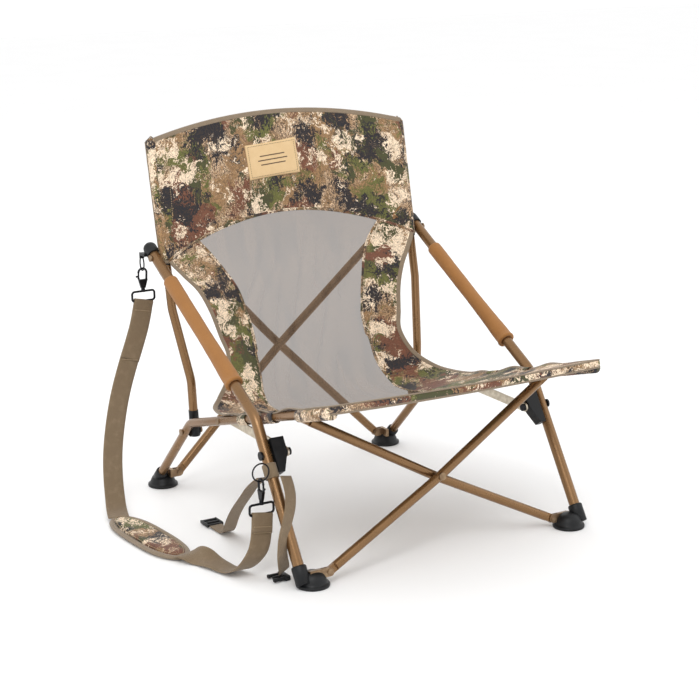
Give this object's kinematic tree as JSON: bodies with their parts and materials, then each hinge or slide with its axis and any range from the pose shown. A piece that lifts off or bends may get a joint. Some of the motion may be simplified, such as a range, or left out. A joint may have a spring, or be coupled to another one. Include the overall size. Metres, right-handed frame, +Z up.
{
  "type": "low folding camp chair",
  "caption": "Low folding camp chair with scissor-crossed tube legs, hinged arms, a slung cloth seat and back, and a clip-on carry strap.",
  "frame": {"origin": "on the floor, under the middle of the chair frame", "axes": "+Z up; -Y is the way a sitter faces; +X across the seat"},
  "size_m": [0.7308, 0.6953, 0.701],
  "materials": {
    "bronze_tube": "metallic bronze powder coat",
    "grip_foam": "soft foam sleeve",
    "camo_cloth": "woven polyester, broken natural camouflage, with an open mesh panel",
    "pad_cloth": "padded woven cloth with a bound edge",
    "webbing": "flat polyester webbing",
    "black_plastic": "moulded plastic",
    "black_hardware": "black coated wire and castings",
    "pale_link": "pale flat bar",
    "steel_fittings": "bronze-toned steel"
  },
  "bodies": {
    "left_arm": {"arm_leg_tube_left": "bronze_tube", "arm_grip_left": "grip_foam", "arm_cap_left": "black_plastic", "arm_pivot_bolt_left": "steel_fittings", "leg_bracket_left": "black_plastic", "leg_bolt_left": "steel_fittings", "front_clevis_left": "steel_fittings", "front_foot_left": "black_plastic", "strap_webbing_upper": "webbing", "strap_webbing_lower": "webbing", "shoulder_pad": "pad_cloth", "closing_tail_one": "webbing", "closing_tail_two": "webbing", "ladder_lock": "black_plastic", "side_release_plug": "black_plastic", "upper_snap_hook": "black_hardware", "lower_snap_hook": "black_hardware", "upper_strap_loop": "black_hardware", "lower_strap_loop": "black_hardware", "cap_ring": "black_hardware", "leg_ring": "black_hardware"},
    "left_post": {"back_post_left": "bronze_tube", "post_collar_left": "black_plastic", "post_bracket_left": "black_plastic", "back_sling": "camo_cloth"},
    "left_rail": {"seat_rail_left": "bronze_tube", "rail_rivet_left": "steel_fittings", "rear_pivot_bolt_left": "steel_fittings", "rear_foot_left": "black_plastic", "rail_lug_left": "steel_fittings", "seat_sling": "camo_cloth"},
    "left_link": {"seat_link_left": "pale_link"},
    "left_clevis": {"rear_clevis_left": "steel_fittings"},
    "left_slider": {"post_slider_left": "black_plastic"},
    "right_arm": {"arm_leg_tube_right": "bronze_tube", "arm_grip_right": "grip_foam", "arm_cap_right": "black_plastic", "arm_pivot_bolt_right": "steel_fittings", "leg_bracket_right": "black_plastic", "leg_bolt_right": "steel_fittings", "front_clevis_right": "steel_fittings", "front_foot_right": "black_plastic"},
    "right_post": {"back_post_right": "bronze_tube", "post_collar_right": "black_plastic", "post_bracket_right": "black_plastic"},
    "right_rail": {"seat_rail_right": "bronze_tube", "rail_rivet_right": "steel_fittings", "rear_pivot_bolt_right": "steel_fittings", "rear_foot_right": "black_plastic", "rail_lug_right": "steel_fittings"},
    "right_link": {"seat_link_right": "pale_link"},
    "right_clevis": {"rear_clevis_right": "steel_fittings"},
    "right_slider": {"post_slider_right": "black_plastic"},
    "front_cross_a": {"front_cross_tube_a": "bronze_tube", "front_cross_rivet": "steel_fittings"},
    "front_cross_b": {"front_cross_tube_b": "bronze_tube"},
    "rear_cross_a": {"rear_cross_tube_a": "bronze_tube"},
    "rear_cross_b": {"rear_cross_tube_b": "bronze_tube"},
    "upper_gate": {"upper_hook_gate": "black_hardware"},
    "lower_gate": {"lower_hook_gate": "black_hardware"}
  },
  "joints": [
    {"name": "fold", "type": "hinge", "parent": "left_arm", "child": "front_cross_a", "pos_m": [-0.232, -0.274, 0.018], "axis": [0, -0.9777, 0.2102], "range_deg": [0, 50], "deforming": ["seat_sling", "back_sling"]},
    {"name": "front_crossing", "type": "hinge", "parent": "front_cross_a", "child": "front_cross_b", "pos_m": [0, -0.2527, 0.133], "axis": [0, -0.9777, 0.2102], "range_deg": [-96.65, 0]},
    {"name": "right_front_pin", "type": "hinge", "parent": "front_cross_b", "child": "right_arm", "pos_m": [0.232, -0.274, 0.018], "axis": [0, -0.9777, 0.2102], "range_deg": [0, 50]},
    {"name": "left_post_hinge", "type": "hinge", "parent": "left_arm", "child": "left_post", "pos_m": [-0.262, 0.2435, 0.4573], "axis": [1, 0, 0], "range_deg": [-19.35, 0]},
    {"name": "left_rail_hinge", "type": "hinge", "parent": "left_post", "child": "left_rail", "pos_m": [-0.25, 0.1915, 0.1405], "axis": [1, 0, 0], "range_deg": [-17.09, 0]},
    {"name": "left_link_hinge", "type": "hinge", "parent": "left_arm", "child": "left_link", "pos_m": [-0.242, -0.1665, 0.195], "axis": [1, 0, 0], "range_deg": [0, 33.33]},
    {"name": "left_slide", "type": "slide", "parent": "left_post", "child": "left_slider", "axis": [0, 0.2049, 0.9788], "range_m": [0, 0.1552]},
    {"name": "left_clevis_tilt", "type": "hinge", "parent": "left_rail", "child": "left_clevis", "pos_m": [-0.225, 0.309, 0.028], "axis": [1, 0, 0], "range_deg": [0, 10.99]},
    {"name": "right_post_hinge", "type": "hinge", "parent": "right_arm", "child": "right_post", "pos_m": [0.262, 0.2435, 0.4573], "axis": [1, 0, 0], "range_deg": [-19.35, 0]},
    {"name": "right_rail_hinge", "type": "hinge", "parent": "right_post", "child": "right_rail", "pos_m": [0.25, 0.1915, 0.1405], "axis": [1, 0, 0], "range_deg": [-17.09, 0]},
    {"name": "right_link_hinge", "type": "hinge", "parent": "right_arm", "child": "right_link", "pos_m": [0.242, -0.1665, 0.195], "axis": [1, 0, 0], "range_deg": [0, 33.33]},
    {"name": "right_slide", "type": "slide", "parent": "right_post", "child": "right_slider", "axis": [0, 0.2049, 0.9788], "range_m": [0, 0.1552]},
    {"name": "right_clevis_tilt", "type": "hinge", "parent": "right_rail", "child": "right_clevis", "pos_m": [0.225, 0.309, 0.028], "axis": [1, 0, 0], "range_deg": [0, 10.99]},
    {"name": "left_rear_pin", "type": "hinge", "parent": "left_clevis", "child": "rear_cross_a", "pos_m": [-0.225, 0.309, 0.028], "axis": [0, -1, 0], "range_deg": [0, 36.99]},
    {"name": "right_rear_pin", "type": "hinge", "parent": "right_clevis", "child": "rear_cross_b", "pos_m": [0.225, 0.309, 0.028], "axis": [0, 1, 0], "range_deg": [0, 36.99]},
    {"name": "upper_hook_gate", "type": "hinge", "parent": "left_arm", "child": "upper_gate", "pos_m": [-0.301, 0.277, 0.4155], "axis": [0, 1, 0], "range_deg": [0, 18], "stiffness_Nm_per_rad": 0.02},
    {"name": "lower_hook_gate", "type": "hinge", "parent": "left_arm", "child": "lower_gate", "pos_m": [-0.307, -0.204, 0.1485], "axis": [-1, 0, 0], "range_deg": [0, 18], "stiffness_Nm_per_rad": 0.02}
  ],
  "couplings": [
    {"joint": "front_crossing", "follows": "fold", "ratio": -1.9328},
    {"joint": "right_front_pin", "follows": "fold", "ratio": 1},
    {"joint": "left_post_hinge", "follows": "fold", "ratio": -0.38692},
    {"joint": "left_rail_hinge", "follows": "fold", "ratio": -0.34163},
    {"joint": "left_link_hinge", "follows": "fold", "ratio": 0.66644},
    {"joint": "left_slide", "follows": "fold", "m_per_rad": 0.17784},
    {"joint": "left_clevis_tilt", "follows": "fold", "ratio": 0.21974},
    {"joint": "right_post_hinge", "follows": "fold", "ratio": -0.38692},
    {"joint": "right_rail_hinge", "follows": "fold", "ratio": -0.34163},
    {"joint": "right_link_hinge", "follows": "fold", "ratio": 0.66644},
    {"joint": "right_slide", "follows": "fold", "m_per_rad": 0.17784},
    {"joint": "right_clevis_tilt", "follows": "fold", "ratio": 0.21974},
    {"joint": "left_rear_pin", "follows": "fold", "ratio": 0.7398},
    {"joint": "right_rear_pin", "follows": "fold", "ratio": 0.7398}
  ]
}
